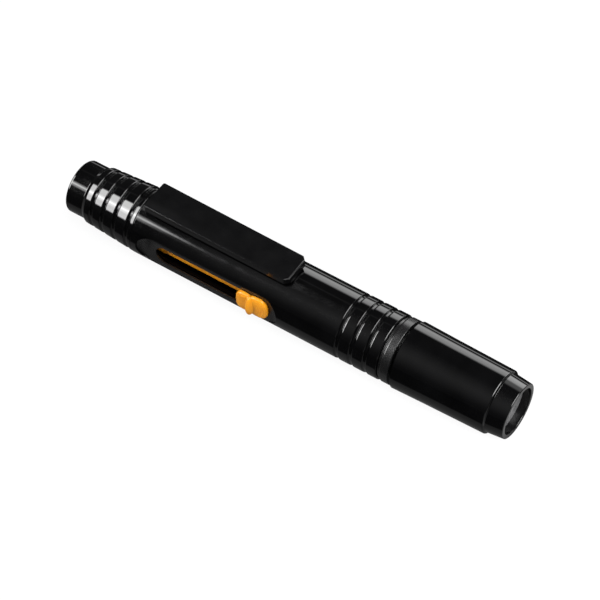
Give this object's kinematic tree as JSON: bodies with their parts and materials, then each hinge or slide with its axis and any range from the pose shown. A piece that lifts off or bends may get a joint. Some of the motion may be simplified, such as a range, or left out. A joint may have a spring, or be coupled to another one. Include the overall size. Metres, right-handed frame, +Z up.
{
  "type": "lens cleaning pen",
  "caption": "Slim black pen-shaped cleaner with a ribbed nose, flat pocket clip, orange thumb slider for a hidden brush, and a pull-off cap over a small round cleaning tip.",
  "frame": {"origin": "on the surface that the pen lies on, under the middle of its length and width", "axes": "+X along the pen towards the cap, +Z up, out of the outer face of the pocket clip; the thumb slider faces -Y"},
  "size_m": [0.1126, 0.0166, 0.0178],
  "materials": {
    "gloss_black": "gloss",
    "satin_black": "satin",
    "matte_grey": "matte",
    "pale_grey": "matte",
    "orange": "semi-gloss",
    "steel": "brushed",
    "bristle": "soft hair",
    "rubber": "matte",
    "suede": "napped",
    "carbon": "dusty felt"
  },
  "bodies": {
    "pen_body": {"barrel": "gloss_black", "slot_plate": "matte_grey", "nose_sleeve": "gloss_black", "neck_plug": "matte_grey", "tip_stem": "rubber", "tip_head": "satin_black", "tip_cushion": "rubber", "tip_pad": "suede"},
    "clip": {"pocket_clip": "satin_black"},
    "brush_slider": {"thumb_button": "orange", "brush_carriage": "orange", "detent_leaf": "steel", "brush_ferrule": "steel", "brush_bristles": "bristle"},
    "cap_ring": {"cap_grip_ring": "rubber"},
    "cap": {"cap_shell": "gloss_black", "cap_liner": "satin_black", "carbon_cup": "satin_black", "carbon_pad": "carbon", "cap_end_plug": "pale_grey"}
  },
  "joints": [
    {"name": "clip_flex", "type": "hinge", "parent": "pen_body", "child": "clip", "pos_m": [-0.03435, 0.00051, 0.01536], "axis": [0, -1, 0], "range_deg": [0, 3], "stiffness_Nm_per_rad": 0.02},
    {"name": "brush_slide", "type": "slide", "parent": "pen_body", "child": "brush_slider", "axis": [-1, 0, 0], "range_m": [0, 0.021]},
    {"name": "cap_pull", "type": "slide", "parent": "pen_body", "child": "cap_ring", "axis": [1, 0, 0], "range_m": [0, 0.03]},
    {"name": "cap_twist", "type": "hinge", "parent": "cap_ring", "child": "cap", "pos_m": [0.0295, 0.00051, 0.00776], "axis": [1, 0, 0], "continuous": true}
  ]
}
